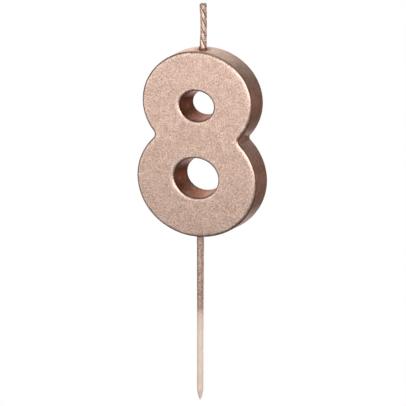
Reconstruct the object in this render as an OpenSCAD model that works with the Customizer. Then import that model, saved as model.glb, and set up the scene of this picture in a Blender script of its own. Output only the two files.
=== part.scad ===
// Number candle: a cast wax figure eight on a moulded cake pick, lit by a twisted cotton wick.
//
// +Z is up and the rounded front face looks along -Y. The origin is on the axis of the pick,
// halfway through the thickness of the numeral and level with its lowest point, which is the
// height of the cake's surface when the candle is pushed right in.

/* [Numeral] */
// Height of the numeral, measured over its larger back face
numeral_h = 70; // [56:0.5:90]
// Width of the lower lobe at the back face, the widest part of the candle
lower_w = 48.6; // [40:0.2:60]
// Width of the upper lobe at the back face
upper_w = 44.2; // [36:0.2:56]
// Thickness of the casting from the front face to the back face
numeral_t = 10.3; // [8:0.1:14]
// How far the two lobes run into each other in height
lobe_overlap = 12.6; // [8:0.1:16]
// How much taller the lower lobe is than the upper one
lobe_difference = 4.8; // [0:0.1:8]
// Sideways shift of the upper lobe
upper_shift = 0.2; // [-0.5:0.05:0.5]

/* [Mould] */
// How far the outer wall leans in from the back face to the front face
wall_draft = 0.65; // [0:0.05:1.2]
// How far a counter's wall leans out from the back face to the front face
counter_draft = 1.15; // [0:0.05:1.6]
// Radius of the rounded front edge
front_round = 1.0; // [0.4:0.05:2]
// Radius of the front edge around each counter
counter_round = 0.85; // [0.4:0.05:1.5]
// Radius of the crisp back edge, where the mould was filled
back_round = 0.3; // [0.1:0.05:0.8]
// Radius of the fillet in each notch of the waist
waist_fillet = 1.3; // [0.8:0.1:3]

/* [Counters] */
// Width of the upper counter at the back face
upper_counter_w = 10.7; // [8:0.1:16]
// Height of the upper counter at the back face
upper_counter_h = 8.9; // [7:0.1:12]
// Width of the lower counter at the back face
lower_counter_w = 14.9; // [10:0.1:20]
// Height of the lower counter at the back face
lower_counter_h = 12.8; // [9:0.1:15]
// How far each counter sits from the middle of its lobe, towards the waist
counter_pull = 1.0; // [0:0.1:3]
// Sideways shift of each counter in its lobe
counter_shift = 0.15; // [-0.5:0.05:0.5]

/* [Wick] */
// Length of wick that stands above the numeral
wick_exposed = 16.2; // [8:0.2:25]
// Sideways place of the wick
wick_x = 0.85; // [-3:0.05:3]
// Radius of each cotton ply
ply_r = 0.61; // [0.4:0.01:0.8]
// Gap between neighbouring plies
ply_gap = 0.03; // [0.02:0.01:0.1]
// Height in which the plies make one full turn around each other
twist_pitch = 11; // [6:0.5:20]
// Sideways bow of the exposed wick at its middle
wick_bow = 0.25; // [0:0.05:0.6]
// Wax left between the root of the wick and the upper counter
wick_floor = 4; // [2:0.5:6]
// Radial clearance around the wick in its hole
wick_clearance = 0.05; // [0.02:0.01:0.1]
// Width of the wax flare that creeps up the foot of the wick
flare_w = 0.5; // [0.2:0.05:1]
// Height of the wax flare
flare_h = 1.0; // [0.4:0.1:2]

/* [Pick] */
// Diameter of the pick's shank
pick_d = 2.46; // [2:0.02:3.2]
// Length of the pick below the cake's surface, with its point
pick_exposed = 65.5; // [40:0.1:90]
// Length of the tapered point
point_len = 4.3; // [3:0.1:12]
// Radius of the blunt end of the point
point_r = 0.38; // [0.2:0.02:0.6]
// Width of the collar that stops the wax, beyond the shank
collar_w = 0.17; // [0.16:0.01:0.6]
// Depth of the flat seat that the collar meets, above the numeral's underside
seat_depth = 0.15; // [0.12:0.01:0.5]
// Radial clearance around the collar in its seat
seat_clearance = 0.06; // [0.03:0.01:0.2]
// Diameter of the tenon inside the wax
tenon_d = 2.1; // [1.5:0.02:2.2]
// Radial clearance of the tenon in its socket
socket_clearance = 0.04; // [0.02:0.01:0.08]
// Gap between the end of the tenon and the end of its socket
socket_end_gap = 0.5; // [0.2:0.1:1]
// Wax left between the socket and the lower counter
socket_floor = 2; // [1.5:0.5:5]

/* [Hidden] */
$fn = 96;

// how far a cutter runs past the faces that it opens
margin = 1;
// the fillet's cutter is this much larger, so that it meets each lobe at an angle
fillet_ease = 0.05;

// lobes, as half sizes and centre heights at the back face
lower_r = (numeral_h + lobe_overlap + lobe_difference) / 4;
upper_r = (numeral_h + lobe_overlap - lobe_difference) / 4;
lower_z = lower_r;
upper_z = numeral_h - upper_r;
// counters
upper_counter_z = upper_z - counter_pull;
lower_counter_z = lower_z + counter_pull;
// how far a counter reaches up or down at the front face, with its rounded edge
counter_reach = counter_draft + counter_round;
// height of the numeral's top and underside at mid thickness
top_z = numeral_h - wall_draft / 2;
underside_z = wall_draft / 2;
// wick
ply_orbit = (ply_r + ply_gap / 2) / sin(60);
wick_r = ply_orbit + ply_r;
wick_hole_r = wick_r + wick_clearance;
wick_foot_z = upper_counter_z + upper_counter_h / 2 + counter_reach + wick_floor;
wick_top_z = top_z + wick_exposed;
ply_rings = 56;
ply_sides = 20;
// pick
collar_r = pick_d / 2 + collar_w;
seat_z = underside_z + seat_depth;
socket_r = tenon_d / 2 + socket_clearance;
socket_top_z = lower_counter_z - lower_counter_h / 2 - counter_reach - socket_floor;
tenon_top_z = socket_top_z - socket_end_gap;
tenon_chamfer = 0.3;

// --- sections -------------------------------------------------------------------------

// Half section of a cast disc, back face on y = 0: a drafted wall between two rounded edges.
module disc_section(r) {
    lean = atan(wall_draft / numeral_t);
    out = [cos(lean), sin(lean)];
    back = [r - back_round * tan(lean) - back_round / cos(lean), back_round];
    front_y = numeral_t - front_round;
    front = [r - front_y * tan(lean) - front_round / cos(lean), front_y];
    polygon([
        [0, 0], [back[0], 0], back + back_round * out,
        front + front_round * out, [front[0], numeral_t], [0, numeral_t]
    ]);
    translate(back) circle(back_round);
    translate(front) circle(front_round);
}

// Half section of what is cut from a casting to leave a drafted hole with rounded edges.
module hole_section(r, draft, round_r) {
    lean = atan(draft / numeral_t);
    inwards = [-cos(lean), sin(lean)];
    back = [r + back_round * tan(lean) + back_round / cos(lean), back_round];
    front_y = numeral_t - round_r;
    front = [r + front_y * tan(lean) + round_r / cos(lean), front_y];
    difference() {
        polygon([
            [0, -margin], [back[0], -margin], back, back + back_round * inwards,
            front + round_r * inwards, front, [front[0], numeral_t + margin],
            [0, numeral_t + margin]
        ]);
        translate(back) circle(back_round);
        translate(front) circle(round_r);
    }
}

// --- numeral --------------------------------------------------------------------------

// Solid oval of the numeral, w wide and 2 * r high at the back face.
module lobe(w, r) {
    scale([w / (2 * r), 1, 1]) rotate_extrude() disc_section(r);
}

// Cutter of an oval counter, w wide and h high at the back face.
module counter(w, h) {
    scale([w / h, 1, 1]) rotate_extrude() hole_section(h / 2, counter_draft, counter_round);
}

// Unit vector square to an ellipse of half sizes a and b, at the point of parameter t.
function oval_normal(a, b, t) = let(v = [cos(t) / a, sin(t) / b]) v / norm(v);

// Distance from the point p to an ellipse centred on c, to first order, and the way out.
function oval_gap(p, c, a, b) =
    let(q = [(p[0] - c[0]) / a, (p[1] - c[1]) / b], k = norm(q))
    (k - 1) * k / norm([q[0] / a, q[1] / b]);
function oval_way(p, c, a, b) =
    let(v = [(p[0] - c[0]) / (a * a), (p[1] - c[1]) / (b * b)]) v / norm(v);

// Centre of a circle that rolls on the lower lobe, at parameter t.
function rolling_centre(t) =
    [lower_w / 2 * cos(t), lower_z + lower_r * sin(t)]
    + waist_fillet * oval_normal(lower_w / 2, lower_r, t);

// Parameter at which the rolling circle also touches the upper lobe, by halving.
function touching_t(shift, lo, hi, steps) =
    let(mid = (lo + hi) / 2)
    steps == 0 ? mid
    : oval_gap(rolling_centre(mid), [shift, upper_z], upper_w / 2, upper_r) > waist_fillet
        ? touching_t(shift, mid, hi, steps - 1)
        : touching_t(shift, lo, mid, steps - 1);

// Fillet that fills the right-hand notch of the waist, for an upper lobe shifted by shift.
module waist_web(shift) {
    t = touching_t(shift, 0, 90, 30);
    centre = rolling_centre(t);
    reach = 5 * waist_fillet;
    to_lower = oval_normal(lower_w / 2, lower_r, t);
    to_upper = oval_way(centre, [shift, upper_z], upper_w / 2, upper_r);
    difference() {
        linear_extrude(numeral_t)
            polygon([centre, centre - reach * to_upper, centre - reach * to_lower]);
        translate([centre[0], centre[1], 0]) rotate_extrude()
            hole_section(waist_fillet + fillet_ease, wall_draft, front_round);
    }
}

// The cast figure before any hole is made, lying on its back face.
module figure() {
    translate([0, lower_z, 0]) lobe(lower_w, lower_r);
    translate([upper_shift, upper_z, 0]) lobe(upper_w, upper_r);
    waist_web(upper_shift);
    mirror([1, 0, 0]) waist_web(-upper_shift);
}

// The two counters, lying as the figure does.
module counters() {
    translate([counter_shift, lower_counter_z, 0]) counter(lower_counter_w, lower_counter_h);
    translate([upper_shift + counter_shift, upper_counter_z, 0])
        counter(upper_counter_w, upper_counter_h);
}

// Turns what lies on its back face into the upright numeral, centred in its thickness.
module upright() {
    translate([0, numeral_t / 2, 0]) rotate([90, 0, 0]) children();
}

// Wax that creeps up the foot of the wick, as a concave ring.
module wick_flare() {
    foot_r = wick_hole_r + flare_w;
    translate([wick_x, 0, top_z]) rotate_extrude() difference() {
        translate([0, -margin]) square([foot_r, margin + flare_h]);
        translate([foot_r, flare_h]) scale([flare_w / flare_h, 1]) circle(flare_h);
    }
}

module numeral_body() {
    color([0.82, 0.68, 0.61]) difference() {
        union() {
            upright() figure();
            wick_flare();
        }
        upright() counters();
        translate([0, 0, -margin]) cylinder(r = collar_r + seat_clearance, h = margin + seat_z);
        cylinder(r = socket_r, h = socket_top_z);
        translate([wick_x, 0, wick_foot_z])
            cylinder(r = wick_hole_r, h = wick_top_z - wick_foot_z);
    }
}

// --- wick -----------------------------------------------------------------------------

// Sideways place of the middle of the wick at the height z: straight in the wax, bowed above it.
function wick_axis_x(z) = wick_x + (z > top_z ? wick_bow * sin(180 * (z - top_z) / wick_exposed) : 0);

// Middle of one ply at the height z, for plies that start at the angle start.
function ply_axis(z, start) =
    let(turn = start - 360 * (z - wick_foot_z) / twist_pitch)
    [wick_axis_x(z) + ply_orbit * cos(turn), ply_orbit * sin(turn), z];

// One twisted ply, swept as level rings from the foot of the wick to its cut end.
module ply(start) {
    rise = (wick_top_z - wick_foot_z) / (ply_rings - 1);
    points = [
        for (i = [0:ply_rings - 1], j = [0:ply_sides - 1])
            let(mid = ply_axis(wick_foot_z + i * rise, start), a = 360 * j / ply_sides)
            mid + ply_r * [cos(a), sin(a), 0]
    ];
    last = (ply_rings - 1) * ply_sides;
    walls = [
        for (i = [0:ply_rings - 2], j = [0:ply_sides - 1])
            let(a = i * ply_sides, b = a + ply_sides, k = (j + 1) % ply_sides)
            each [[a + j, b + j, b + k], [a + j, b + k, a + k]]
    ];
    foot = [for (j = [0:ply_sides - 1]) j];
    cut = [for (j = [0:ply_sides - 1]) last + ply_sides - 1 - j];
    polyhedron(points, concat([foot, cut], walls));
}

module wick_ply_1() { color([0.72, 0.60, 0.55]) ply(30); }
module wick_ply_2() { color([0.72, 0.60, 0.55]) ply(150); }
module wick_ply_3() { color([0.72, 0.60, 0.55]) ply(270); }

// --- pick -----------------------------------------------------------------------------

// Half section of the pick: point, shank, collar, and the tenon above it.
module pick_section() {
    shank_r = pick_d / 2;
    tenon_r = tenon_d / 2;
    end_z = -pick_exposed;
    point_lean = asin((shank_r - point_r) / point_len);
    ball = [0, end_z + point_r];
    polygon([
        ball, ball + point_r * [cos(point_lean), -sin(point_lean)],
        [shank_r, end_z + point_len], [shank_r, 0], [collar_r, 0], [collar_r, seat_z],
        [tenon_r, seat_z],
        [tenon_r, tenon_top_z - tenon_chamfer], [tenon_r - tenon_chamfer, tenon_top_z],
        [0, tenon_top_z]
    ]);
    intersection() {
        translate(ball) circle(point_r);
        translate([0, end_z]) square([point_r, 2 * point_r]);
    }
}

module pick() {
    color([0.86, 0.79, 0.74]) rotate_extrude() pick_section();
}

numeral_body();
wick_ply_1();
wick_ply_2();
wick_ply_3();
pick();
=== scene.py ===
"""Looks of the number candle: a lacquered wax figure eight on a moulded cake pick, with a twisted wick.

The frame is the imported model's: metres, +Z up, the front face along -Y, and the origin on the axis of
the pick. The classes hold their sizes in millimetres, and MM turns them into metres.
"""

import logging
import math
from dataclasses import dataclass, field
from enum import Enum
from typing import Any

import bmesh
import bpy
import numpy as np
from mathutils import Matrix, Vector, noise
from mathutils.geometry import delaunay_2d_cdt


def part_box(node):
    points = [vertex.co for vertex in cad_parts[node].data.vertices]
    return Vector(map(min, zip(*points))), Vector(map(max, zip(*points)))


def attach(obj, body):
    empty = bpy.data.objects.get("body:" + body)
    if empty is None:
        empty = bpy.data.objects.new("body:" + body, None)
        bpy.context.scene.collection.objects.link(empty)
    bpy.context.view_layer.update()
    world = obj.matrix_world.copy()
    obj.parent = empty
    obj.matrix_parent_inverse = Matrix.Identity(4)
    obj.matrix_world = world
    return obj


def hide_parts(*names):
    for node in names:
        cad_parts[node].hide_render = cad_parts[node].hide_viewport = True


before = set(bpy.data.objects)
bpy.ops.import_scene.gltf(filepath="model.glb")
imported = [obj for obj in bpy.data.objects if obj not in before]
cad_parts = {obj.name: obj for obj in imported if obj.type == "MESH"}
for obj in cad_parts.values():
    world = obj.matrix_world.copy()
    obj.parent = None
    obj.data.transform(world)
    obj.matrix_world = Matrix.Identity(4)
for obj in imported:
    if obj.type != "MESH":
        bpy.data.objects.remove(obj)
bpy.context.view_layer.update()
MM = 0.001
log = logging.getLogger("candle")

Colour = tuple[float, float, float]
Material = bpy.types.Material
Mesh = bpy.types.Mesh
Object = bpy.types.Object
Socket = bpy.types.NodeSocket
Tree = bpy.types.NodeTree


class Body(str, Enum):
    """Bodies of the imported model."""

    PICK = "pick"
    NUMERAL = "numeral"


class Slot(str, Enum):
    """Material slots of the record."""

    WAX = "lacquered_wax"
    WICK = "lacquered_wick"
    PICK = "pick_plastic"


class Node(str, Enum):
    """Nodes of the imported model."""

    NUMERAL = "numeral_body"
    PLY_1 = "wick_ply_1"
    PLY_2 = "wick_ply_2"
    PLY_3 = "wick_ply_3"
    PICK = "pick"


# --- node trees ---


class Graph:
    """Adds nodes to one node tree and wires them, for shaders and geometry alike."""

    def __init__(self, tree: Tree) -> None:
        """Works on the given tree."""
        self.tree = tree

    def add(self, kind: str, inputs: dict[str | int, Any] | None = None, **settings: Any) -> bpy.types.Node:
        """Adds a node.

        Args:
            kind: The node's type.
            inputs: A socket or a value for each input, by name or place; a colour goes without alpha.
            settings: The node's own properties.

        Returns:
            The new node.
        """
        node = self.tree.nodes.new(kind)
        for name, value in settings.items():
            setattr(node, name, value)
        for key, value in (inputs or {}).items():
            if isinstance(value, Socket):
                self.tree.links.new(value, node.inputs[key])
            else:
                is_colour = node.inputs[key].type == "RGBA"
                node.inputs[key].default_value = (*value, 1.0) if is_colour else value
        return node

    def math(self, operation: str, *values: Any, clamp: bool = False) -> Socket:
        """Adds a Math node and returns its result."""
        inputs = dict(enumerate(values))
        return self.add("ShaderNodeMath", inputs, operation=operation, use_clamp=clamp).outputs[0]

    def vector(self, operation: str, *values: Any) -> Socket:
        """Adds a Vector Math node and returns its vector; None leaves an input alone."""
        inputs = {place: value for place, value in enumerate(values) if value is not None}
        return self.add("ShaderNodeVectorMath", inputs, operation=operation).outputs[0]

    def remap(self, value: Socket, low: float, high: float, to_low: float = 0.0,
              to_high: float = 1.0) -> Socket:
        """Maps low to to_low and high to to_high, smoothly and within those ends."""
        inputs = {"Value": value, "From Min": low, "From Max": high, "To Min": to_low, "To Max": to_high}
        return self.add("ShaderNodeMapRange", inputs, interpolation_type="SMOOTHSTEP").outputs[0]

    def mix(self, share: Any, first: Any, second: Any) -> Socket:
        """Mixes two colours and returns the result."""
        return self.add("ShaderNodeMix", {0: share, 6: first, 7: second}, data_type="RGBA").outputs[2]

    def blend(self, share: Any, first: Any, second: Any) -> Socket:
        """Mixes two numbers and returns the result."""
        return self.add("ShaderNodeMix", {0: share, 2: first, 3: second}).outputs[0]

    def noise(self, place: Socket, size: Any, detail: float = 2.0) -> Socket:
        """Adds noise whose blotches are about as wide as size, in metres, and returns its value."""
        scale = self.math("DIVIDE", 1.0, size) if isinstance(size, Socket) else 1.0 / size
        return self.add("ShaderNodeTexNoise", {"Vector": place, "Scale": scale, "Detail": detail}).outputs[0]

    def attribute(self, name: str) -> Socket:
        """Reads a number that the mesh carries."""
        return self.add("ShaderNodeAttribute", attribute_name=name).outputs["Fac"]


class Group(Graph):
    """A node group with named inputs, and outputs that are named when it is done."""

    def __init__(self, name: str, kind: str, inputs: dict[str, tuple[str, Any]]) -> None:
        """Starts the group.

        Args:
            name: The group's name.
            kind: ShaderNodeTree or GeometryNodeTree.
            inputs: Socket kind and default value by name; None leaves the default.
        """
        super().__init__(bpy.data.node_groups.new(name, kind))
        for label, (socket, value) in inputs.items():
            made = self.tree.interface.new_socket(label, in_out="INPUT", socket_type="NodeSocket" + socket)
            if value is not None:
                made.default_value = value
        self.given = self.add("NodeGroupInput").outputs

    def give(self, kind: str, **results: Socket) -> Tree:
        """Adds an output for each result.

        Args:
            kind: Socket kind of the outputs.
            results: The socket to link to each output, by the output's name.

        Returns:
            The finished tree.
        """
        for label in results:
            self.tree.interface.new_socket(label, in_out="OUTPUT", socket_type="NodeSocket" + kind)
        self.add("NodeGroupOutput", results)
        return self.tree


def empty_tree(owner: Material | bpy.types.World) -> Tree:
    """Turns on a material's or a world's nodes and removes them.

    Args:
        owner: The material or world.

    Returns:
        Its empty tree.
    """
    owner.use_nodes = True
    owner.node_tree.nodes.clear()
    return owner.node_tree


def powder_group() -> Tree:
    """Metal powder in a lacquer, as used on the wax, the wick and the pick.

    Returns:
        A group that gives single flakes, the blotches that they settle in, and a height for Bump.
    """
    sizes = {"Flake Size": ("Float", 0.2 * MM), "Blotch Size": ("Float", 0.6 * MM)}
    group = Group("Metal powder", "ShaderNodeTree", {"Vector": ("Vector", None), **sizes})
    place, flake_size, blotch_size = (group.given[label] for label in ("Vector", *sizes))
    scale = group.math("DIVIDE", 1.0, flake_size)
    cells = group.add("ShaderNodeTexVoronoi", {"Vector": place, "Scale": scale}, feature="F1")
    flake = group.add("ShaderNodeSeparateColor", {0: cells.outputs["Color"]}).outputs
    blotch = group.noise(place, blotch_size, 3.0)
    hue = group.noise(group.vector("ADD", place, (0.3, 0.1, 0.2)), group.math("MULTIPLY", blotch_size, 1.7))
    return group.give(
        "Float",
        Flake=flake[0],
        Blotch=group.remap(blotch, 0.3, 0.7),
        Hue=group.remap(hue, 0.35, 0.65),
        Height=group.math("ADD", blotch, group.math("MULTIPLY", flake[1], 0.5)),
    )


def scuff_group() -> Tree:
    """Soft unevenness of a moulded surface: slow swells with fine scratches in them.

    Returns:
        A group that gives a height for Bump and a mask of duller patches.
    """
    group = Group("Moulded unevenness", "ShaderNodeTree", {"Vector": ("Vector", None)})
    swell = group.noise(group.given["Vector"], 4 * MM)
    grain = group.noise(group.given["Vector"], 0.3 * MM, 4.0)
    return group.give("Float", Height=group.math("MULTIPLY_ADD", grain, 0.25, swell),
                      Dullness=group.remap(swell, 0.35, 0.7))


# --- finishes ---


@dataclass(frozen=True)
class Effects:
    """The shader groups that the finishes share."""

    powder: Tree
    scuff: Tree


@dataclass(frozen=True)
class Gloss:
    """Settings that are the same all over a surface, set on the shader itself."""

    metallic: float = 0.0
    ior: float = 1.45
    subsurface: float = 0.0
    bleed: Colour = (1.0, 0.5, 0.3)
    bleed_depth: float = 1.0


class Surface(Graph):
    """The tree of one material, with its shader, its coordinates and the shared effects at hand."""

    def __init__(self, name: str, gloss: Gloss, effects: Effects) -> None:
        """Starts a material with a Principled shader.

        Args:
            name: The material's name.
            gloss: Its plain settings.
            effects: The shared shader groups.
        """
        self.material = bpy.data.materials.new(name)
        super().__init__(empty_tree(self.material))
        self.shader = self.add("ShaderNodeBsdfPrincipled", {
            "Metallic": gloss.metallic,
            "IOR": gloss.ior,
            "Subsurface Weight": gloss.subsurface,
            "Subsurface Radius": gloss.bleed,
            "Subsurface Scale": gloss.bleed_depth * MM,
        })
        self.add("ShaderNodeOutputMaterial", {"Surface": self.shader.outputs[0]})
        self.place = self.add("ShaderNodeTexCoord").outputs["Object"]
        self.effects = effects
        scuff = self.add("ShaderNodeGroup", {"Vector": self.place}, node_tree=effects.scuff).outputs
        self.scuff_height, self.dullness = scuff["Height"], scuff["Dullness"]

    def finish(self, colour: Socket, roughness: Socket, height: Socket, relief: float,
               strength: float) -> Material:
        """Wires the results to the shader.

        Args:
            colour: The base colour.
            roughness: The roughness.
            height: Height for the bump.
            relief: How high the bump is, in millimetres.
            strength: Strength of the bump.

        Returns:
            The finished material.
        """
        bump = self.add("ShaderNodeBump", {"Strength": strength, "Distance": relief * MM, "Height": height})
        for label, socket in (("Base Color", colour), ("Roughness", roughness), ("Normal", bump.outputs[0])):
            self.tree.links.new(socket, self.shader.inputs[label])
        return self.material


@dataclass(frozen=True)
class PowderLook:
    """Rose-gold metal powder bound in lacquer: its hues, its darkest and lightest tones, and roughness."""

    pink: Colour = (0.79, 0.545, 0.462)
    straw: Colour = (0.79, 0.575, 0.455)
    dark: Colour = (0.44, 0.36, 0.30)
    light: Colour = (1.58, 1.65, 1.71)
    roughness: tuple[float, float] = (0.36, 0.50)
    flake: float = 0.27
    blotch: float = 0.28
    swell: float = 0.10

    def paint(self, surface: Surface) -> tuple[Socket, Socket, Socket]:
        """Paints the lacquer.

        Args:
            surface: The surface to paint it on.

        Returns:
            The lacquer's colour, roughness and height.
        """
        sizes = {"Vector": surface.place, "Flake Size": self.flake * MM, "Blotch Size": self.blotch * MM}
        powder = surface.add("ShaderNodeGroup", sizes, node_tree=surface.effects.powder).outputs
        hue = surface.mix(powder["Hue"], self.pink, self.straw)
        share = surface.math("ADD", powder["Flake"], powder["Blotch"])
        tone = surface.mix(surface.math("MULTIPLY", share, 0.5), self.dark, self.light)
        uneven = surface.math("MULTIPLY_ADD", surface.dullness, -self.swell, 1.0 + self.swell / 2)
        colour = surface.vector("SCALE", surface.vector("MULTIPLY", hue, tone), None, None, uneven)
        return colour, surface.remap(powder["Flake"], 0.0, 1.0, *self.roughness), powder["Height"]


@dataclass(frozen=True)
class LacqueredWax:
    """Metallic lacquer over cast wax, with a stain and painted contact shade around the wick's foot, painted
    shade on walls, in counters and along edges, and a painted highlight on the front rim; lengths in
    millimetres.
    """

    look: PowderLook = PowderLook()
    gloss: Gloss = Gloss(metallic=0.9)
    # a stain with painted contact shade around the wick's foot
    stain_and_contact_shade: Colour = (0.36, 0.155, 0.085)
    # painted shade for the walls and the counters
    wall_shade: Colour = (0.47, 0.24, 0.165)
    # painted dark line along the rounded edges
    edge_shade: Colour = (0.36, 0.25, 0.21)
    # painted highlight on the front rim
    glossy_rim_highlight: Colour = (1.16, 1.18, 1.20)
    pooled_gloss: float = 0.80
    patch_size: float = 3.5
    patch_range: tuple[float, float] = (0.82, 1.15)
    stain_and_shade_reach: tuple[float, float] = (1.9, 4.4)
    creep: float = 0.9

    def make(self, effects: Effects, wick_x: float, foot_z: float) -> Material:
        """Makes the material, which reads the attributes that NumeralCasting.mark_painted_light stores.

        Args:
            effects: The shared shader groups.
            wick_x: Sideways place of the wick, in millimetres.
            foot_z: Height at which the wick leaves the wax, in millimetres.

        Returns:
            The material.
        """
        wax = Surface("Lacquered wax", self.gloss, effects)
        colour, roughness, height = self.look.paint(wax)
        patches = wax.remap(wax.noise(wax.place, self.patch_size * MM, 3.0), 0.35, 0.65, *self.patch_range)
        # painted shade on walls and in counters, broken up at random
        wall_shade_share = wax.math("MULTIPLY", wax.attribute("painted_wall_shade"), patches, clamp=True)
        edge_shade, glossy_rim_highlight = wax.attribute("painted_edge_shade"), wax.attribute("rim_highlight_and_gloss")
        # tints: painted wall shade, painted dark edge line, painted rim highlight
        for share, tint in ((wall_shade_share, self.wall_shade), (edge_shade, self.edge_shade), (glossy_rim_highlight, self.glossy_rim_highlight)):
            colour = wax.mix(share, colour, wax.vector("MULTIPLY", colour, tint))
        # the rim with the painted highlight also gets lower roughness
        polish = wax.math("MULTIPLY_ADD", glossy_rim_highlight, self.pooled_gloss - 1, 1.0)
        # a stain with painted contact shade, darkest at the foot of the wick and fading outwards
        from_foot = wax.vector("SUBTRACT", wax.place, (wick_x * MM, 0.0, foot_z * MM))
        spread = wax.vector("MULTIPLY", from_foot, (1.0, 0.8, 0.9))
        distance = wax.add("ShaderNodeVectorMath", {0: spread}, operation="LENGTH").outputs["Value"]
        creep = wax.noise(wax.place, self.creep * MM)
        edge = wax.math("MULTIPLY_ADD", creep, self.creep * MM, distance)
        foot_darkening = wax.remap(edge, *(reach * MM for reach in self.stain_and_shade_reach), 0.95, 0.0)
        colour = wax.mix(foot_darkening, colour, self.stain_and_contact_shade)
        return wax.finish(colour, wax.math("MULTIPLY", roughness, polish), height, 0.05, 0.35)


@dataclass(frozen=True)
class BareWax:
    """Uncoated wax inside the wick's hole and the pick's socket."""

    light: Colour = (0.86, 0.76, 0.66)
    dark: Colour = (0.74, 0.60, 0.50)
    roughness: tuple[float, float] = (0.35, 0.6)
    gloss: Gloss = Gloss(ior=1.44, subsurface=0.25, bleed_depth=1.5)

    def make(self, effects: Effects) -> Material:
        """Makes the material.

        Args:
            effects: The shared shader groups.

        Returns:
            The material.
        """
        wax = Surface("Bare wax", self.gloss, effects)
        colour = wax.mix(wax.dullness, self.light, self.dark)
        roughness = wax.remap(wax.dullness, 0.0, 1.0, *self.roughness)
        return wax.finish(colour, roughness, wax.scuff_height, 0.08, 0.4)


@dataclass(frozen=True)
class PickPlastic:
    """Cream plastic whose upper part caught the lacquer and its overspray; heights in millimetres."""

    look: PowderLook = PowderLook(blotch=0.5)
    gloss: Gloss = Gloss(ior=1.49, subsurface=0.3, bleed_depth=1.2)
    plastic: Colour = (0.77, 0.62, 0.54)
    shade: Colour = (0.73, 0.575, 0.49)
    roughness: float = 0.38
    covered: float = -25.8
    bare: float = -33.7
    ragged: float = 9.0
    speck: float = 0.35
    metallic: float = 0.85

    def make(self, effects: Effects, tenon_z: float) -> Material:
        """Makes the material.

        Args:
            effects: The shared shader groups.
            tenon_z: Height above which the pick was in the wax and stayed bare, in millimetres.

        Returns:
            The material.
        """
        pick = Surface("Pick plastic", self.gloss, effects)
        lacquer, lacquer_roughness, lacquer_height = self.look.paint(pick)
        height = pick.add("ShaderNodeSeparateXYZ", {0: pick.place}).outputs["Z"]
        speck = pick.math("SUBTRACT", pick.noise(pick.place, self.speck * MM), 0.5)
        edge = pick.math("MULTIPLY_ADD", speck, self.ragged * MM, height)
        outside = pick.math("SUBTRACT", 1.0, pick.math("GREATER_THAN", height, tenon_z * MM))
        cover = pick.math("MULTIPLY", pick.remap(edge, self.bare * MM, self.covered * MM), outside)
        pick.tree.links.new(pick.math("MULTIPLY", cover, self.metallic), pick.shader.inputs["Metallic"])
        colour = pick.mix(cover, pick.mix(pick.dullness, self.plastic, self.shade), lacquer)
        roughness = pick.blend(cover, self.roughness, lacquer_roughness)
        relief = pick.blend(cover, pick.scuff_height, lacquer_height)
        return pick.finish(colour, roughness, relief, 0.05, 0.35)


@dataclass(frozen=True)
class LacqueredWick:
    """Cotton plies stiffened with wax and sprayed with the lacquer, with painted shade in the grooves."""

    look: PowderLook = PowderLook(dark=(0.28, 0.22, 0.18), light=(1.72, 1.78, 1.82), flake=0.26, blotch=0.5)
    gloss: Gloss = Gloss(metallic=0.75)
    # painted shade in the grooves between plies
    groove_shade: Colour = (0.16, 0.075, 0.05)
    cotton: Colour = (0.62, 0.48, 0.40)

    def make(self, effects: Effects) -> Material:
        """Makes the material, which reads the ply's attributes `fibres` and `groove_shade`.

        Args:
            effects: The shared shader groups.

        Returns:
            The material.
        """
        wick = Surface("Lacquered wick", self.gloss, effects)
        colour, roughness, height = self.look.paint(wick)
        along = wick.add("ShaderNodeUVMap", uv_map="fibres").outputs[0]
        strands = wick.noise(wick.vector("MULTIPLY", along, (26.0, 40.0, 1.0)), 1.0, 3.0)
        streak = wick.math("MULTIPLY", wick.remap(strands, 0.35, 0.7), 0.25)
        colour = wick.mix(streak, colour, self.cotton)
        # painted shade in the grooves between plies
        colour = wick.mix(wick.attribute("groove_shade"), colour, self.groove_shade)
        relief = wick.math("MULTIPLY_ADD", strands, 1.2, height)
        return wick.finish(colour, roughness, relief, 0.06, 0.45)


# --- meshes ---


def new_object(name: str, data: Any) -> Object:
    """Makes an object and puts it in the scene.

    Args:
        name: Its name.
        data: Its mesh, light or camera.

    Returns:
        The object.
    """
    made = bpy.data.objects.new(name, data)
    bpy.context.scene.collection.objects.link(made)
    return made


def new_piece(name: str, mesh: Mesh, materials: list[Material]) -> Object:
    """Makes an object for a finished mesh.

    Args:
        name: Name of the object and its mesh.
        mesh: The mesh.
        materials: Its materials, in order.

    Returns:
        The object, in the scene.
    """
    mesh.name = name
    mesh.materials.clear()
    for material in materials:
        mesh.materials.append(material)
    return new_object(name, mesh)


def hand_over(piece: Object, body: Body, node: Node) -> None:
    """Puts a finished piece on its body, in place of its node, and reports it.

    Args:
        piece: The piece.
        body: The body that it rides on.
        node: The node that it replaces.
    """
    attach(piece, body.value)
    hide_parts(node.value)
    log.info("%s rides on %s, %d faces", piece.name, body.value, len(piece.data.polygons))


def mesh_from(points: np.ndarray, faces: list[tuple[int, ...]], name: str) -> Mesh:
    """Makes a closed mesh with its faces turned outwards.

    Args:
        points: The points in millimetres.
        faces: The points' numbers for each face.
        name: The mesh's name.

    Returns:
        The mesh.
    """
    mesh = bpy.data.meshes.new(name)
    mesh.from_pydata((points * MM).tolist(), [], faces)
    clean = bmesh.new()
    clean.from_mesh(mesh)
    bmesh.ops.recalc_face_normals(clean, faces=clean.faces)
    clean.to_mesh(mesh)
    clean.free()
    return mesh


def smooth(mesh: Mesh, sharp_from: float) -> None:
    """Shades a mesh smooth but for the edges that turn by more than an angle in degrees."""
    mesh.shade_smooth()
    mesh.set_sharp_from_angle(angle=math.radians(sharp_from))


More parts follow.
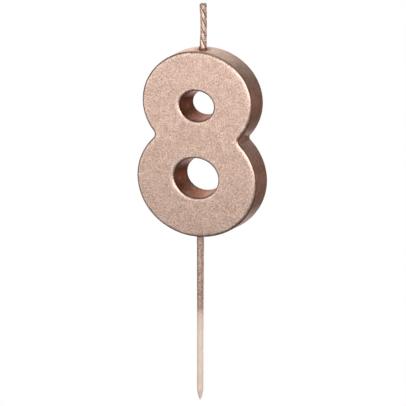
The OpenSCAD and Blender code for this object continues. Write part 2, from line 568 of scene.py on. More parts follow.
def vertex_rows(mesh: Mesh, label: str) -> np.ndarray:
    """Reads a vector of each vertex.

    Args:
        mesh: The mesh.
        label: Which vector, co or normal.

    Returns:
        The vectors as rows.
    """
    flat = np.empty(len(mesh.vertices) * 3, np.float32)
    mesh.vertices.foreach_get(label, flat)
    return flat.reshape(-1, 3)


def ramp(values: np.ndarray, start: float, end: float) -> np.ndarray:
    """Rises evenly from zero at start to one at end, and stays within those."""
    return np.clip((values - start) / (end - start), 0, 1)


def tube(start: int, rings: int, count: int) -> list[tuple[int, ...]]:
    """Quads of a tube whose rings of count points follow each other from the point numbered start."""
    return [(a + i, a + (i + 1) % count, a + count + (i + 1) % count, a + count + i)
            for a in range(start, start + (rings - 1) * count, count) for i in range(count)]


def lathe(profile: np.ndarray, sides: int, x: float = 0.0, ridge: float = 0.0) -> tuple[np.ndarray, list]:
    """Turns a profile around a level axis through x.

    Args:
        profile: Radius and height of each ring; the first and last radius are zero.
        sides: Number of points in each ring.
        x: Sideways place of the axis.
        ridge: Height of the two parting lines that stand out along the sides.

    Returns:
        Points in millimetres, and faces.
    """
    turn = np.arange(sides) * 2 * math.pi / sides
    seam = ridge * (np.abs(np.sin(turn)) < 0.04)
    points = [(x, 0.0, profile[0][1])]
    for radius, height in profile[1:-1]:
        out = radius + seam
        points.extend(zip(x + out * np.cos(turn), out * np.sin(turn), np.full(sides, height)))
    points.append((x, 0.0, profile[-1][1]))
    last = len(points) - 1
    faces = tube(1, len(profile) - 2, sides)
    for i in range(sides):
        j = (i + 1) % sides
        faces.append((0, 1 + j, 1 + i))
        faces.append((last, last - sides + i, last - sides + j))
    return np.array(points), faces


def combine(body: Object, tools: list[tuple[Object, str]]) -> Mesh:
    """Joins or cuts closed objects, one after another.

    Args:
        body: The object to work on, which is used up.
        tools: Each tool object, which is used up, and UNION or DIFFERENCE.

    Returns:
        The resulting mesh, with each tool's material on the faces that it left.
    """
    for tool, operation in tools:
        step = body.modifiers.new(operation, "BOOLEAN")
        step.operation = operation
        step.object = tool
        step.solver = "EXACT"
        step.material_mode = "TRANSFER"
    graph = bpy.context.evaluated_depsgraph_get()
    result = bpy.data.meshes.new_from_object(body.evaluated_get(graph))
    for used in [body] + [tool for tool, _ in tools]:
        bpy.data.objects.remove(used)
    return result


# --- numeral ---


@dataclass(frozen=True)
class Oval:
    """An ellipse in the plane of the numeral's face: centre and half sizes in millimetres."""

    x: float
    z: float
    a: float
    b: float

    def point(self, t: Any) -> np.ndarray:
        """Point at the parameter t."""
        return np.stack([self.x + self.a * np.cos(t), self.z + self.b * np.sin(t)], -1)

    def normal(self, t: float) -> np.ndarray:
        """Unit vector that points outwards at t."""
        way = np.array([math.cos(t) / self.a, math.sin(t) / self.b])
        return way / np.linalg.norm(way)

    def beside(self, t: float, gap: float) -> np.ndarray:
        """Place at a gap outside the point at t."""
        return self.point(t) + gap * self.normal(t)

    def drift(self, t: float, gap: float) -> np.ndarray:
        """Change of that place with t."""
        slope = np.array([-self.a * math.sin(t), self.b * math.cos(t)])
        return slope * (1 + gap * self.a * self.b / np.linalg.norm(slope) ** 3)

    def grown(self, by: float) -> "Oval":
        """The same oval with its half height grown by a length, in proportion."""
        return Oval(self.x, self.z, self.a * (1 + by / self.b), self.b + by)

    def mirrored(self) -> "Oval":
        """The oval on the other side of the middle plane."""
        return Oval(-self.x, self.z, self.a, self.b)

    def holds(self, points: np.ndarray) -> np.ndarray:
        """Whether each point lies in the oval."""
        return self.inward(points) > 0

    def inward(self, points: np.ndarray) -> np.ndarray:
        """How far in each point lies, as a length on the half height; negative outside."""
        return (1 - np.hypot((points[:, 0] - self.x) / self.a, (points[:, 1] - self.z) / self.b)) * self.b


@dataclass
class NumeralCasting:
    """The wax figure eight: two lobes, two counters, the wick's hole and flare, and the pick's socket."""

    lower_w: float = 48.6
    upper_w: float = 44.2
    height: float = 70.0
    lobe_overlap: float = 12.6
    lobe_difference: float = 4.8
    upper_shift: float = 0.2
    wall_draft: float = 0.65
    counter_draft: float = 1.15
    front_round: float = 1.0
    counter_round: float = 0.85
    back_round: float = 0.3
    waist_fillet: float = 1.3
    upper_counter: tuple[float, float] = (10.7, 8.9)
    lower_counter: tuple[float, float] = (14.9, 12.8)
    counter_pull: float = 1.0
    counter_shift: float = 0.15
    wick_x: float = 0.85
    wick_hole_r: float = 1.38
    wick_foot_z: float = 60.0
    flare_w: float = 0.5
    flare_h: float = 0.9
    seat_r: float = 1.46
    seat_z: float = 0.475
    socket_r: float = 1.09
    socket_top_z: float = 12.45
    lobe_points: int = 210
    notch_points: int = 12
    counter_points: int = 110
    wall_rings: int = 12
    face_grid: float = 0.85
    bore_sides: int = 64
    front_swell: float = 0.012
    wall_swell: float = 0.03
    swell_size: float = 5.0
    edge_dent: float = 0.022
    dent_size: float = 1.3
    wall_start: tuple[float, float] = (0.35, 0.65)
    wall_end: tuple[float, float] = (0.05, 0.30)
    # painted shade on the walls, less on faces that point up
    wall_shade_strength: float = 0.58
    # painted dark line along the rounded edges
    edge_shade_depth: float = 0.58
    edge_shade_width: float = 0.28
    top_slope: tuple[float, float] = (0.3, 0.8)
    top_lightening: float = 0.9
    edge_band: float = 0.15
    # front rim that gets a painted highlight and more gloss
    rim_highlight_depth: tuple[float, float] = (0.40, 0.25)
    rim_highlight_width: float = 0.25
    thickness: float = field(init=False)

    def __post_init__(self) -> None:
        """Takes the thickness from the frame and places the lobes and counters."""
        low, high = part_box(Node.NUMERAL.value)
        self.thickness = (high.y - low.y) / MM
        lower_r = (self.height + self.lobe_overlap + self.lobe_difference) / 4
        upper_r = (self.height + self.lobe_overlap - self.lobe_difference) / 4
        self.lower = Oval(0.0, lower_r, self.lower_w / 2, lower_r)
        self.upper = Oval(self.upper_shift, self.height - upper_r, self.upper_w / 2, upper_r)
        self.counters = [
            Oval(self.counter_shift, self.lower.z + self.counter_pull, *(v / 2 for v in self.lower_counter)),
            Oval(self.upper.x + self.counter_shift, self.upper.z - self.counter_pull,
                 *(v / 2 for v in self.upper_counter)),
        ]

    @property
    def top_z(self) -> float:
        """Height of the top at mid thickness."""
        return self.height - self.wall_draft / 2

    def section(self, draft: float, front_round: float) -> list[tuple[float, float]]:
        """Edge of a drafted wall between its two rounded edges.

        Args:
            draft: How far the wall leans from the back face to the front face.
            front_round: Radius of the front edge.

        Returns:
            The way in from the back outline, and the depth from the back face, of each ring.
        """
        lean = math.atan(draft / self.thickness)
        rounds = ((self.back_round, self.back_round, -math.pi / 2, lean, 5),
                  (front_round, self.thickness - front_round, lean, math.pi / 2, 9))
        arcs = []
        for radius, depth, start, end, count in rounds:
            middle = depth * math.tan(lean) + radius / math.cos(lean)
            arcs.append([(middle - radius * math.cos(a), depth + radius * math.sin(a))
                         for a in np.linspace(start, end, count)])
        (d0, y0), (d1, y1) = arcs[0][-1], arcs[1][0]
        shares = np.linspace(0, 1, self.wall_rings + 2)[1:-1]
        return arcs[0] + [(d0 + (d1 - d0) * k, y0 + (y1 - y0) * k) for k in shares] + arcs[1]

    def fillet(self, lower: Oval, upper: Oval, radius: float) -> tuple[float, float, np.ndarray]:
        """Fits a circle that touches both lobes in the right-hand notch, by Newton's method.

        Args:
            lower: The lower lobe.
            upper: The upper lobe.
            radius: The circle's radius.

        Returns:
            The parameters of its touching points, and its points from the lower lobe to the upper one.
        """
        t = np.array([0.7, -0.7])
        for _ in range(12):
            gap = lower.beside(t[0], radius) - upper.beside(t[1], radius)
            change = np.column_stack([lower.drift(t[0], radius), -upper.drift(t[1], radius)])
            t = t - np.linalg.solve(change, gap)
        normals = lower.normal(t[0]), upper.normal(t[1])
        start, end = (math.atan2(-n[1], -n[0]) % (2 * math.pi) for n in normals)
        turn = np.linspace(start, end, self.notch_points, endpoint=False)
        arc = lower.beside(t[0], radius) + radius * np.stack([np.cos(turn), np.sin(turn)], -1)
        return float(t[0]), float(t[1]), arc

    def outline(self, inset: float) -> np.ndarray:
        """The figure's outline.

        Args:
            inset: How far it lies in from the back outline.

        Returns:
            Points that run round it once.
        """
        lower, upper, radius = self.lower.grown(-inset), self.upper.grown(-inset), self.waist_fillet + inset
        right_low, right_high, right_arc = self.fillet(lower, upper, radius)
        left_low, left_high, left_arc = self.fillet(lower.mirrored(), upper.mirrored(), radius)
        below = np.linspace(math.pi - left_low, 2 * math.pi + right_low, self.lobe_points, endpoint=False)
        above = np.linspace(right_high, math.pi - left_high, self.lobe_points, endpoint=False)
        down = np.roll(left_arc[::-1] * (-1, 1), 1, axis=0)
        down[0] = upper.point(math.pi - left_high)
        return np.concatenate([lower.point(below), right_arc, upper.point(above), down])

    def rings_of(self, curve: Any, section: list[tuple[float, float]]) -> np.ndarray:
        """Rings of points of a wall, from the back face to the front face.

        Args:
            curve: Gives the wall's outline for a way in from the back.
            section: The way in and the depth of each ring.

        Returns:
            The points by ring.
        """
        rings = []
        for inset, depth in section:
            flat = curve(inset)
            y = np.full(len(flat), self.thickness / 2 - depth)
            rings.append(np.stack([flat[:, 0], y, flat[:, 1]], -1))
        return np.array(rings)

    def face_fill(self, loops: list[np.ndarray], holes: list[Oval]) -> tuple[np.ndarray, list]:
        """Fills a face between its outline and its holes with even triangles.

        Args:
            loops: The outline and the holes' edges, as points in the plane of the face.
            holes: The ovals of the holes.

        Returns:
            The new points inside, and the triangles over the loops' points followed by those.
        """
        def on_face(places: np.ndarray) -> np.ndarray:
            """Whether each place lies in the outline and in none of the holes."""
            return np.all([in_loop(places, loops[0]), *(~hole.holds(places) for hole in holes)], axis=0)

        edge = np.concatenate(loops)
        step = self.face_grid
        rows = []
        for k, z in enumerate(np.arange(edge[:, 1].min(), edge[:, 1].max(), step * math.sqrt(0.75))):
            xs = np.arange(edge[:, 0].min() + (k % 2) * step / 2, edge[:, 0].max(), step)
            rows.append(np.stack([xs, np.full(len(xs), z)], -1))
        grid = np.concatenate(rows)
        grid = grid[on_face(grid)]
        gap = np.array([np.min(np.linalg.norm(edge - p, axis=1)) for p in grid])
        grid = grid[gap > 0.6 * step]
        links, start = [], 0
        for loop in loops:
            links += [(start + i, start + (i + 1) % len(loop)) for i in range(len(loop))]
            start += len(loop)
        places = np.concatenate([edge, grid])
        _, _, found, origins, *_ = delaunay_2d_cdt([Vector(p) for p in places], links, [], 0, 1e-7)
        triangles = [[origins[i][0] for i in corners] for corners in found]
        keep = on_face(np.array([places[t].mean(axis=0) for t in triangles]))
        return grid, [tuple(t) for t, wanted in zip(triangles, keep) if wanted]

    def casting(self) -> Mesh:
        """The figure with its counters, before any hole is made for the wick or the pick.

        Returns:
            The mesh.
        """
        turn = np.linspace(0, 2 * math.pi, self.counter_points, endpoint=False)
        hole_section = self.section(self.counter_draft, self.counter_round)
        walls = [self.rings_of(self.outline, self.section(self.wall_draft, self.front_round))]
        for oval in self.counters:
            walls.append(self.rings_of(lambda grow, o=oval: o.grown(grow).point(turn), hole_section))
        points, faces, starts, total = [], [], [], 0
        for wall in walls:
            rings, count, _ = wall.shape
            starts.append((total, total + (rings - 1) * count))
            faces += tube(total, rings, count)
            points.append(wall.reshape(-1, 3))
            total += rings * count
        for side, y in ((0, self.thickness / 2), (-1, -self.thickness / 2)):
            loops = [wall[side][:, [0, 2]] for wall in walls]
            reach = hole_section[side][0]
            inside, triangles = self.face_fill(loops, [oval.grown(reach) for oval in self.counters])
            lookup = np.concatenate([start[side] + np.arange(len(loop)) for start, loop in zip(starts, loops)]
                                    + [total + np.arange(len(inside))])
            faces += [tuple(int(lookup[i]) for i in t) for t in triangles]
            points.append(np.stack([inside[:, 0], np.full(len(inside), y), inside[:, 1]], -1))
            total += len(inside)
        mesh = mesh_from(np.concatenate(points), faces, "casting")
        self.ripple(mesh)
        return mesh

    def ripple(self, mesh: Mesh) -> None:
        """Gives the cast surface its slight unevenness, a little more on the edges and the filled back.

        Args:
            mesh: The casting, which is changed.
        """
        half = self.thickness / 2
        normals = [v.normal.copy() for v in mesh.vertices]
        for vertex, normal in zip(mesh.vertices, normals):
            place = vertex.co / MM
            front_edge = max(0.0, 1 - abs(place.y + half - 0.4 * self.front_round) / self.front_round)
            on_face = abs(normal.y) > 0.99
            slow = self.front_swell if on_face and place.y < 0 else self.wall_swell
            lift = slow * noise.noise(place / self.swell_size)
            lift += self.edge_dent * front_edge * noise.noise(place / self.dent_size)
            vertex.co += normal * lift * MM

    def flare(self) -> Mesh:
        """Wax drawn up around the foot of the wick, lying on the curved and drafted top.

        Returns:
            The closed mesh, which reaches a little into the casting.
        """
        sides, steps = self.bore_sides, 10
        turn = np.arange(sides) * 2 * math.pi / sides
        uneven = np.array([noise.noise(Vector((math.cos(a), math.sin(a), 0.4)) * 1.4) for a in turn])
        width = self.flare_w * (1 + 0.5 * uneven)
        crown = self.upper.a ** 2 / self.upper.b
        slope = self.wall_draft / self.thickness
        rings = []
        for k in np.linspace(0, 1, steps):
            radius = self.wick_hole_r + width * (1 - math.sin(k * math.pi / 2)) - 0.001
            x, y = self.wick_x + radius * np.cos(turn), radius * np.sin(turn)
            surface = self.top_z + y * slope - (x - self.upper.x) ** 2 / (2 * crown)
            rise = self.flare_h * (1 + 0.3 * uneven) * (1 - math.cos(k * math.pi / 2)) - 0.02
            rings.append(np.stack([x, y, surface + rise], -1))
        under = rings[0].copy()
        under[:, 2] -= 1.0
        points = np.concatenate([under, *rings])
        caps = [tuple(range(sides)), tuple(range(steps * sides, (steps + 1) * sides))]
        return mesh_from(points, tube(0, steps + 1, sides) + caps, "flare")

    def build(self, lacquer: Material, wax: Material) -> Object:
        """Casts the figure, draws up the flare and makes the holes.

        Args:
            lacquer: Finish of the outside.
            wax: Finish of the holes.

        Returns:
            The finished piece.
        """
        bores = ((self.wick_x, self.wick_hole_r, self.wick_foot_z, self.top_z + 2 * self.flare_h),
                 (0.0, self.seat_r, -1.0, self.seat_z), (0.0, self.socket_r, -1.0, self.socket_top_z))
        tools = [(new_piece("flare", self.flare(), [lacquer]), "UNION")]
        for x, radius, low, high in bores:
            profile = np.array([(0, low), (radius, low), (radius, high), (0, high)])
            points, faces = lathe(profile, self.bore_sides, x)
            tools.append((new_piece("cutter", mesh_from(points, faces, "cutter"), [wax]), "DIFFERENCE"))
        mesh = combine(new_piece("casting", self.casting(), [lacquer]), tools)
        piece = new_piece("numeral_casting", mesh, [lacquer, wax])
        smooth(mesh, 42)
        self.mark_painted_light(mesh)
        return piece

    def mark_painted_light(self, mesh: Mesh) -> None:
        """Stores masks of painted light: painted shade on walls and in counters, lighter on faces that point
        up, a painted dark line along the rounded edges, and the front rim for a painted highlight and more
        gloss.

        Args:
            mesh: The finished casting, which gets the attributes painted_wall_shade, painted_edge_shade and
                rim_highlight_and_gloss.
        """
        x, y, z = (vertex_rows(mesh, "co") / MM).T
        flat = np.stack([x, z], -1)
        depth = y + self.thickness / 2
        wall = ramp(depth, *self.wall_start) * ramp(self.thickness - depth, *self.wall_end)
        # painted shade: walls darker, upward faces lighter, counters shaded all over
        shade_amount = wall * self.wall_shade_strength
        shade_amount *= 1 - self.top_lightening * ramp(vertex_rows(mesh, "normal")[:, 2], *self.top_slope)
        for oval in self.counters:
            inside = oval.grown(self.counter_draft + self.counter_round + 0.1).holds(flat)
            shade_amount[inside] = wall[inside]
        # the rounded front edges begin where the flat face ends
        lobe_edge = self.edge_band - self.wall_draft - self.front_round
        hole_edge = self.counter_draft + self.counter_round - self.edge_band
        on_lobes = np.max([lobe.grown(lobe_edge).inward(flat) for lobe in (self.lower, self.upper)], axis=0)
        in_holes = [oval.grown(hole_edge).inward(flat) for oval in self.counters]
        edge = np.max([-on_lobes, *in_holes], axis=0)
        marks = {
            "painted_wall_shade": shade_amount,
            # painted dark line along the rounded edges
            "painted_edge_shade": np.exp(-((depth - self.edge_shade_depth) / self.edge_shade_width) ** 2),
            # front rim for a painted highlight and more gloss
            "rim_highlight_and_gloss": ramp(depth, *self.rim_highlight_depth) * ramp(edge, -self.rim_highlight_width, 0),
        }
        for label, values in marks.items():
            mesh.attributes.new(label, "FLOAT", "POINT").data.foreach_set("value", values.astype(np.float32))


def in_loop(points: np.ndarray, loop: np.ndarray) -> np.ndarray:
    """Tells which points lie in a loop, by counting crossings.

    Args:
        points: The points.
        loop: The corners of the loop.

    Returns:
        Whether each point lies inside.
    """
    inside = np.zeros(len(points), bool)
    for (x0, z0), (x1, z1) in zip(loop, np.roll(loop, -1, axis=0)):
        if z0 == z1:
            continue
        spans = (points[:, 1] > z0) != (points[:, 1] > z1)
        inside ^= spans & (points[:, 0] < x0 + (points[:, 1] - z0) * (x1 - x0) / (z1 - z0))
    return inside


# --- wick ---


@dataclass
class TwistedWick:
    """Three cotton plies twisted around each other, made by one Geometry Nodes tree."""

    x: float
    top_z: float
    foot_z: float = 60.0
    radius: float = 1.38
    spread: float = 57.0
    corner: float = 0.62
    pitch: float = 11.0
    bow: float = 0.25
    squeeze: float = 0.12
    ridge: float = 0.02
    starts: tuple[float, float, float] = (30.0, 150.0, 270.0)
    cut_offsets: tuple[float, float, float] = (-0.35, 0.0, -0.15)
    dome: float = 0.22
    fibres: float = 9.0
    fibre_turns: float = 26.0
    fray_density: float = 34.0
    fray_len: float = 0.22
    fray_foot_r: float = 0.04
    fray_tip_r: float = 0.012
    sides: int = 30
    rings: int = 170

    def __post_init__(self) -> None:
        """Takes the height of the cut end from the frame."""
        self.cut_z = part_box(Node.PLY_1.value)[1].z / MM

    def sizes(self, index: int) -> dict[str, Any]:
        """Values of the tree's named inputs for one ply.

        Args:
            index: Number of the ply, from zero.

        Returns:
            The values by name, in metres and radians.
        """
        return {
            "Foot": self.foot_z * MM,
            "Cut": (self.cut_z + self.cut_offsets[index]) * MM,
            "Surface": self.top_z * MM,
            "Exposed": (self.cut_z - self.top_z) * MM,
            "Axis X": self.x * MM,
            "Radius": self.radius * MM,
            "Spread": math.radians(self.spread),
            "Pitch": self.pitch * MM,
            "Start": math.radians(self.starts[index]),
            "Bow": self.bow * MM,
            "Squeeze": self.squeeze,
            "Ridge": self.ridge,
            "Seed": 11 + index,
        }

    def tree(self) -> Tree:
        """Builds the tree that twists a round strand into a ply and frays its cut end.

        Returns:
            The tree, whose inputs are those of sizes and the finish.
        """
        inputs = {label: ("Float", 0.0) for label in self.sizes(0) if label != "Seed"}
        inputs["Seed"] = ("Int", 1)
        inputs["Finish"] = ("Material", None)
        graph = Group("Twisted ply", "GeometryNodeTree", inputs)
        given = graph.given
        strand = graph.add("GeometryNodeMeshCylinder", {
            "Vertices": self.sides, "Side Segments": self.rings, "Fill Segments": 4, "Radius": 1.0,
            "Depth": 1.0,
        }, fill_type="TRIANGLE_FAN")
        place = graph.add("ShaderNodeSeparateXYZ", {0: graph.add("GeometryNodeInputPosition").outputs[0]})
        across, side, up = place.outputs
        # height of each point, with the cut end rounded off
        share = graph.math("ADD", up, 0.5)
        span = graph.math("SUBTRACT", given["Cut"], given["Foot"])
        height = graph.math("MULTIPLY_ADD", share, span, given["Foot"])
        square = graph.math("MULTIPLY_ADD", across, across, graph.math("MULTIPLY", side, side))
        at_cut = graph.math("GREATER_THAN", share, 0.999)
        dome = graph.math("MULTIPLY", graph.math("SUBTRACT", 1.0, square), at_cut)
        height = graph.math("MULTIPLY_ADD", dome, self.dome * MM, height)
        # how far the ply has turned, and how much the lacquer pulls the plies together
        risen = graph.math("DIVIDE", graph.math("SUBTRACT", height, given["Foot"]), given["Pitch"])
        turn = graph.math("MULTIPLY_ADD", risen, -2 * math.pi, given["Start"])
        above = graph.math("DIVIDE", graph.math("SUBTRACT", height, given["Surface"]), given["Exposed"],
                           clamp=True)
        wave = graph.math("SINE", graph.math("MULTIPLY", above, math.pi))
        drawn_in = graph.math("SUBTRACT", 1.0, graph.math("MULTIPLY", wave, given["Squeeze"]))
        axis_x = graph.math("MULTIPLY_ADD", wave, given["Bow"], given["Axis X"])
        # fibres that wind the other way round each ply, and their unevenness
        angle = graph.math("ARCTAN2", side, across)
        wound = graph.math("MULTIPLY", risen, self.fibre_turns)
        winding = graph.math("MULTIPLY_ADD", angle, self.fibres, wound)
        along = graph.add("ShaderNodeCombineXYZ", {0: across, 1: side, 2: graph.math("MULTIPLY", risen, 9.0)})
        lumps = graph.add("ShaderNodeTexNoise", {"Vector": along.outputs[0], "Scale": 1.3, "Detail": 2.0})
        ridges = graph.math("MULTIPLY", graph.math("COSINE", winding), given["Ridge"])
        thick = graph.math("ADD", ridges, graph.math("MULTIPLY_ADD", lumps.outputs[0], 0.10, 0.92))
        # each ply is pressed into a third of a round, with its corners eased by the lacquer
        reach = graph.math("MULTIPLY", graph.math("MULTIPLY", thick, given["Radius"]), drawn_in)
        pressed = graph.math("MULTIPLY_ADD", self.squared(graph, across), 0.49, 0.51)
        out = graph.math("MULTIPLY", pressed, reach)
        bearing = graph.math("MULTIPLY_ADD", self.squared(graph, side), given["Spread"], turn)
        flat = graph.add("ShaderNodeCombineXYZ", {0: out})
        turned = graph.add("ShaderNodeVectorRotate", {"Vector": flat.outputs[0], "Angle": bearing},
                           rotation_type="Z_AXIS")
        centre = graph.add("ShaderNodeCombineXYZ", {0: axis_x, 2: height})
        target = graph.vector("ADD", turned.outputs[0], centre.outputs[0])
        # painted shade in the groove between neighbouring plies, kept for the finish
        depth = graph.remap(across, 0.85, 0.1, 0.0, 0.5)
        marked = graph.add("GeometryNodeStoreNamedAttribute", {
            "Geometry": strand.outputs["Mesh"], "Name": "groove_shade", "Value": depth,
        }, data_type="FLOAT", domain="POINT")
        mapped = graph.add("GeometryNodeStoreNamedAttribute", {
            "Geometry": marked.outputs[0], "Name": "fibres", "Value": strand.outputs["UV Map"],
        }, data_type="FLOAT2", domain="CORNER")
        ply = graph.add("GeometryNodeSetPosition", {"Geometry": mapped.outputs[0], "Position": target})
        fray = self.fray(graph, ply.outputs[0])
        joined = graph.add("GeometryNodeJoinGeometry", {0: ply.outputs[0]})
        graph.tree.links.new(fray, joined.inputs[0])
        whole = graph.add("GeometryNodeRealizeInstances", {0: joined.outputs[0]})
        smooth = graph.add("GeometryNodeSetShadeSmooth", {"Geometry": whole.outputs[0]})
        dressing = {"Geometry": smooth.outputs[0], "Material": given["Finish"]}
        return graph.give("Geometry", Geometry=graph.add("GeometryNodeSetMaterial", dressing).outputs[0])

    def squared(self, graph: Graph, value: Socket) -> Socket:
        """Pushes a sine or cosine towards its ends, which turns a round section into a squarer one."""
        size = graph.math("POWER", graph.math("ABSOLUTE", value), self.corner)
        return graph.math("MULTIPLY", size, graph.math("SIGN", value))

    def fray(self, graph: Group, ply: Socket) -> Socket:
        """Short fibre ends that stand on the cut end of a ply.

        Args:
            graph: The ply's tree.
            ply: The ply's geometry.

        Returns:
            The fibres, as instances.
        """
        seed = graph.given["Seed"]
        normal = graph.add("GeometryNodeInputNormal").outputs[0]
        cut_face = graph.math("GREATER_THAN", graph.add("ShaderNodeSeparateXYZ", {0: normal}).outputs[2], 0.7)
        points = graph.add("GeometryNodeDistributePointsOnFaces", {
            "Mesh": ply, "Selection": cut_face, "Density": self.fray_density / MM ** 2, "Seed": seed,
        })
        fibre = graph.add("GeometryNodeMeshCone", {
            "Vertices": 5, "Radius Top": self.fray_tip_r * MM, "Radius Bottom": self.fray_foot_r * MM,
            "Depth": self.fray_len * MM,
        })
        lean = graph.add("FunctionNodeRandomValue", {0: (-0.5, -0.5, 0.0), 1: (0.5, 0.5, 6.2), "Seed": seed},
                         data_type="FLOAT_VECTOR")
        length = graph.add("FunctionNodeRandomValue", {2: 0.4, 3: 1.2, "Seed": seed}, data_type="FLOAT")
        return graph.add("GeometryNodeInstanceOnPoints", {
            "Points": points.outputs[0], "Instance": fibre.outputs[0], "Rotation": lean.outputs[0],
            "Scale": length.outputs[1],
        }).outputs[0]

    def build(self, finish: Material) -> list[Object]:
        """Makes the three plies as plain meshes.

        Args:
            finish: Their material.

        Returns:
            The three pieces.
        """
        tree = self.tree()
        sockets = {s.name: s.identifier for s in tree.interface.items_tree if s.in_out == "INPUT"}
        pieces = []
        for index in range(3):
            holder = new_object("ply", bpy.data.meshes.new("ply"))
            twist = holder.modifiers.new("Twist", "NODES")
            twist.node_group = tree
            for label, value in {**self.sizes(index), "Finish": finish}.items():
                twist[sockets[label]] = value
            bpy.context.view_layer.update()
            graph = bpy.context.evaluated_depsgraph_get()
            mesh = bpy.data.meshes.new_from_object(holder.evaluated_get(graph))
            bpy.data.objects.remove(holder)
            pieces.append(new_piece(f"twisted_ply_{index + 1}", mesh, [finish]))
        return pieces


# --- pick ---


@dataclass
class CakePick:
    """The moulded pick: point, shank with its film of lacquer, collar, and the tenon in the wax."""

    shank_r: float = 1.23
    point_len: float = 4.3
    point_r: float = 0.38
    point_bulge: float = 0.10
    collar_r: float = 1.40
    collar_edge: float = 0.04
    seat_z: float = 0.475
    tenon_r: float = 1.05
    chamfer: float = 0.3
    film: float = 0.11
    film_end: float = -34.0
    film_taper: float = 1.3
    parting_ridge: float = 0.03
    sides: int = 96

    def __post_init__(self) -> None:
        """Takes the ends of the pick from the frame."""
        low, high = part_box(Node.PICK.value)
        self.end_z = low.z / MM
        self.tenon_top_z = high.z / MM

    def profile(self) -> np.ndarray:
        """Outline of the pick.

        Returns:
            Radius and height of each ring, from the point up.
        """
        lean = math.asin((self.shank_r - self.point_r) / self.point_len)
        rings = [(0.0, self.end_z)]
        ball_z = self.end_z + self.point_r
        for angle in np.linspace(math.radians(75), lean, 5):
            rings.append((self.point_r * math.cos(angle), ball_z - self.point_r * math.sin(angle)))
        shoulder = self.end_z + self.point_len
        start_r, start_z = rings[-1]
        for k in np.linspace(0, 1, 10)[1:]:
            bulge = self.point_bulge * math.sin(k * math.pi)
            rings.append((start_r + (self.shank_r - start_r) * k + bulge, start_z + (shoulder - start_z) * k))
        for z in np.linspace(shoulder, -0.02, 90)[1:]:
            cover = min(max((z - self.film_end) / -self.film_end, 0.0), 1.0)
            uneven = 1 + 0.25 * noise.noise(Vector((0.0, 0.3, z / 2.5)))
            build_up = self.film * cover ** self.film_taper * uneven
            rings.append((self.shank_r + build_up, z))
        eased = self.collar_edge
        rings += [(self.collar_r - eased, 0.0), (self.collar_r, eased), (self.collar_r, self.seat_z - eased),
                  (self.collar_r - eased, self.seat_z), (self.tenon_r, self.seat_z)]
        tenon = np.linspace(self.seat_z + 0.5, self.tenon_top_z - self.chamfer, 12)
        rings += [(self.tenon_r, z) for z in tenon]
        rings += [(self.tenon_r - self.chamfer, self.tenon_top_z), (0.0, self.tenon_top_z)]
        return np.array(rings)

    def build(self, finish: Material) -> Object:
        """Turns the pick and dresses it.

        Args:
            finish: Its material.

        Returns:
            The piece.
        """
        points, faces = lathe(self.profile(), self.sides, 0.0, self.parting_ridge)
        mesh = mesh_from(points, faces, "pick")
        piece = new_piece("cake_pick", mesh, [finish])
        smooth(mesh, 50)
        return piece


# --- studio ---


def direction(azimuth: float, elevation: float) -> Vector:
    """Unit vector towards an azimuth, zero at the front and positive to the right, and an elevation."""
    az, el = math.radians(azimuth), math.radians(elevation)
    return Vector((math.sin(az) * math.cos(el), -math.cos(az) * math.cos(el), math.sin(el)))


@dataclass(frozen=True)
class SoftBox:
    """A soft light: its direction from the candle in degrees, distance and size in metres."""

    name: str
    azimuth: float
    elevation: float
    width: float
    height: float
    brightness: float
    colour: Colour = (1.0, 1.0, 1.0)
    distance: float = 0.8
    shines: bool = True

    def place(self, aim: Vector) -> None:
        """Hangs the light.

        Args:
            aim: The point that it faces.
        """
        data = bpy.data.lights.new(self.name, "AREA")
        data.shape = "RECTANGLE"
        data.size, data.size_y = self.width, self.height
        data.energy = self.brightness * math.pi * self.width * self.height
        data.color = self.colour
        lamp = new_object(self.name, data)
        way = direction(self.azimuth, self.elevation)
        facing = way.to_track_quat("Z", "Y").to_matrix().to_4x4()
        lamp.matrix_world = Matrix.Translation(aim + way * self.distance) @ facing
        lamp.visible_camera = False
        lamp.visible_glossy = self.shines


@dataclass(frozen=True)
class ViewPoint:
    """The camera: direction of view and roll in degrees, aim point and distance in millimetres."""

    azimuth: float = 22.471
    elevation: float = 14.267
    roll: float = 0.1233
    aim: tuple[float, float, float] = (2.467, -3.555, 13.466)
    distance: float = 501.86
    focal_length: float = 121.08
    sensor: float = 36.0

    def place(self) -> None:
        """Makes the camera and the scene's view from it."""
        data = bpy.data.cameras.new("camera")
        data.lens, data.sensor_width = self.focal_length, self.sensor
        data.clip_start, data.clip_end = 0.01, 50.0
        camera = new_object("camera", data)
        turns = ((self.azimuth, "Z"), (90 - self.elevation, "X"), (self.roll, "Z"))
        around, up, roll = (Matrix.Rotation(math.radians(angle), 4, axis) for angle, axis in turns)
        place = Vector(self.aim) + direction(self.azimuth, self.elevation) * self.distance
        camera.matrix_world = Matrix.Translation(place * MM) @ around @ up @ roll
        bpy.context.scene.camera = camera


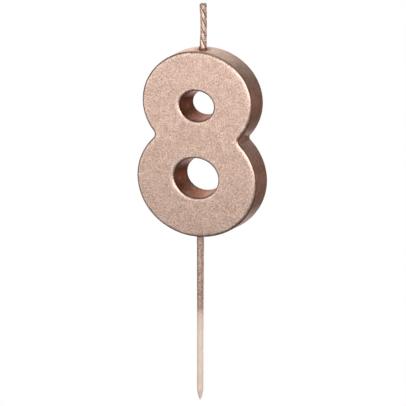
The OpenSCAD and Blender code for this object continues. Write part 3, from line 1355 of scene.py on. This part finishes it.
@dataclass(frozen=True)
class Studio:
    """A pale floor that runs out of sight, dim warm surroundings and soft lights."""

    floor_r: float = 12.0
    floor_drop: float = 0.5
    floor_white: float = 1.0
    surroundings: Colour = (0.05, 0.046, 0.044)
    lights: tuple[SoftBox, ...] = (
        SoftBox("front left", -26, 6.5, 0.50, 0.46, 1, (1, 0.98, 0.97), 0.5),
        SoftBox("front", 8, 8, 0.50, 0.60, 1.58, (0.94, 0.97, 1)),
        SoftBox("key", 46, 24, 0.40, 0.66, 3.9),
        SoftBox("right", 90, 5, 0.40, 0.70, 0.4, (1, 0.82, 0.74)),
        SoftBox("overhead", 180, 82, 0.70, 0.50, 0.95, (0.86, 0.98, 1)),
        SoftBox("over left", -110, 65, 0.50, 0.50, 0.15, (0.76, 0.95, 1)),
        SoftBox("behind high", -150, 55, 0.60, 0.40, 0.7, (0.76, 0.97, 1)),
        SoftBox("behind", 178, 50, 0.70, 0.30, 0.55, (1, 0.98, 0.94)),
        SoftBox("behind low", -158, 30, 0.60, 0.36, 0.5, (1, 0.95, 0.90)),
        SoftBox("behind right", 165, 22, 0.30, 0.30, 0.1, (1, 0.90, 0.84)),
        SoftBox("under behind", -165, -26, 0.50, 0.30, 1.5, (1, 0.94, 0.92)),
        SoftBox("rear left", -142, -2, 0.60, 0.80, 1.3, (1, 0.86, 0.78)),
        SoftBox("rear right", 119, -6, 0.40, 0.80, 0.66, (1, 0.81, 0.73)),
        SoftBox("fill left", -35, 10, 1, 1, 1, shines=False),
        SoftBox("fill right", 75, 10, 1, 1, 1, shines=False),
        SoftBox("fill rear", 180, 10, 1, 1, 2.4, shines=False),
    )

    def floor(self) -> None:
        """Lays the floor just under the point of the pick, as light as paper and without shadow."""
        low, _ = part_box(Node.PICK.value)
        turn = np.arange(64) * 2 * math.pi / 64
        z = low.z - self.floor_drop * MM
        corners = [(self.floor_r * math.cos(a), self.floor_r * math.sin(a), z) for a in turn]
        mesh = bpy.data.meshes.new("floor")
        mesh.from_pydata(corners, [], [tuple(range(len(corners)))])
        material = bpy.data.materials.new("Paper white")
        graph = Graph(empty_tree(material))
        paper = graph.add("ShaderNodeEmission", {"Color": (1.0,) * 3, "Strength": self.floor_white})
        graph.add("ShaderNodeOutputMaterial", {"Surface": paper.outputs[0]})
        floor = new_piece("floor", mesh, [material])
        for seen_by in ("diffuse", "glossy", "transmission", "shadow"):
            setattr(floor, "visible_" + seen_by, False)

    def world(self) -> None:
        """Makes the surroundings: as white as the floor to the eye, dim and warm to the candle."""
        world = bpy.data.worlds.new("studio")
        graph = Graph(empty_tree(world))
        seen = graph.add("ShaderNodeLightPath").outputs["Is Camera Ray"]
        colour = graph.mix(seen, self.surroundings, (self.floor_white,) * 3)
        light = graph.add("ShaderNodeBackground", {"Color": colour, "Strength": 1.0})
        graph.add("ShaderNodeOutputWorld", {"Surface": light.outputs[0]})
        bpy.context.scene.world = world

    def build(self) -> None:
        """Makes the floor, the surroundings and the lights."""
        low, high = (Vector(corner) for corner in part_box(Node.NUMERAL.value))
        self.floor()
        self.world()
        for light in self.lights:
            light.place((low + high) / 2)


def main() -> None:
    """Builds the candle and the studio around it."""
    logging.basicConfig(level=logging.INFO, format="%(name)s: %(message)s")
    bpy.context.scene.view_settings.view_transform = "Standard"
    ViewPoint().place()
    effects = Effects(powder_group(), scuff_group())
    casting = NumeralCasting()
    lacquer = LacqueredWax().make(effects, casting.wick_x, casting.top_z)
    hand_over(casting.build(lacquer, BareWax().make(effects)), Body.NUMERAL, Node.NUMERAL)
    wick = TwistedWick(casting.wick_x, casting.top_z)
    plies = wick.build(LacqueredWick().make(effects))
    for ply, node in zip(plies, (Node.PLY_1, Node.PLY_2, Node.PLY_3)):
        hand_over(ply, Body.NUMERAL, node)
    pick = CakePick()
    hand_over(pick.build(PickPlastic().make(effects, pick.seat_z)), Body.PICK, Node.PICK)
    Studio().build()


if __name__ == "__main__":
    main()
